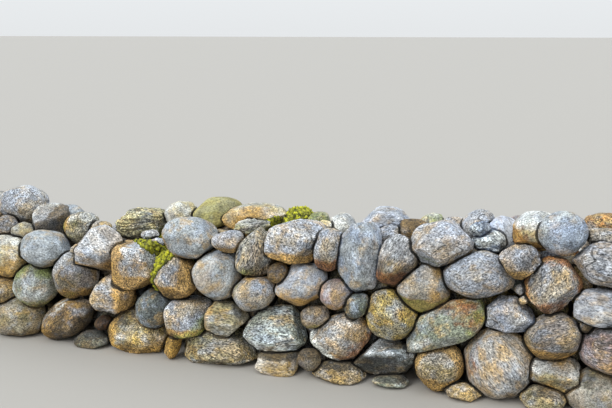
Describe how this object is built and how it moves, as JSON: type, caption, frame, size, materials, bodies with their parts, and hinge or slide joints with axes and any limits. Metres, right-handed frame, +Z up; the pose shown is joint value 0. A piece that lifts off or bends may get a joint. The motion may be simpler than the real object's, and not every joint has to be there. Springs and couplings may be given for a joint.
{
  "type": "dry stone wall",
  "caption": "Straight run of a low dry stone wall, built without mortar from rounded field boulders in rough courses, with a rough coping of loose stones.",
  "frame": {"origin": "centre of the wall's outline on the floor", "axes": "+X along the wall, the shown face looks towards -Y, +Z up"},
  "size_m": [4.1, 0.72, 0.91],
  "materials": {
    "fieldstone": "weathered, rough",
    "hearting_stone": "rough, earthy"
  },
  "bodies": {
    "root": {"front_foot_left": "fieldstone", "front_foot_middle": "fieldstone", "front_foot_right": "fieldstone", "front_second_left": "fieldstone", "front_second_middle": "fieldstone", "front_second_right": "fieldstone", "front_third_left": "fieldstone", "front_third_middle": "fieldstone", "front_third_right": "fieldstone", "front_upper_middle": "fieldstone", "front_upper_right": "fieldstone", "front_wedges": "fieldstone", "cope_left": "fieldstone", "cope_middle": "fieldstone", "cope_right": "fieldstone", "back_foot_left": "fieldstone", "back_foot_middle": "fieldstone", "back_foot_right": "fieldstone", "back_second_left": "fieldstone", "back_second_middle": "fieldstone", "back_second_right": "fieldstone", "back_third_left": "fieldstone", "back_third_middle": "fieldstone", "back_third_right": "fieldstone", "back_upper_run": "fieldstone", "hearting_left": "hearting_stone", "hearting_middle": "hearting_stone", "hearting_right": "hearting_stone", "wall_end_left": "fieldstone", "wall_end_right": "fieldstone"}
  },
  "joints": []
}
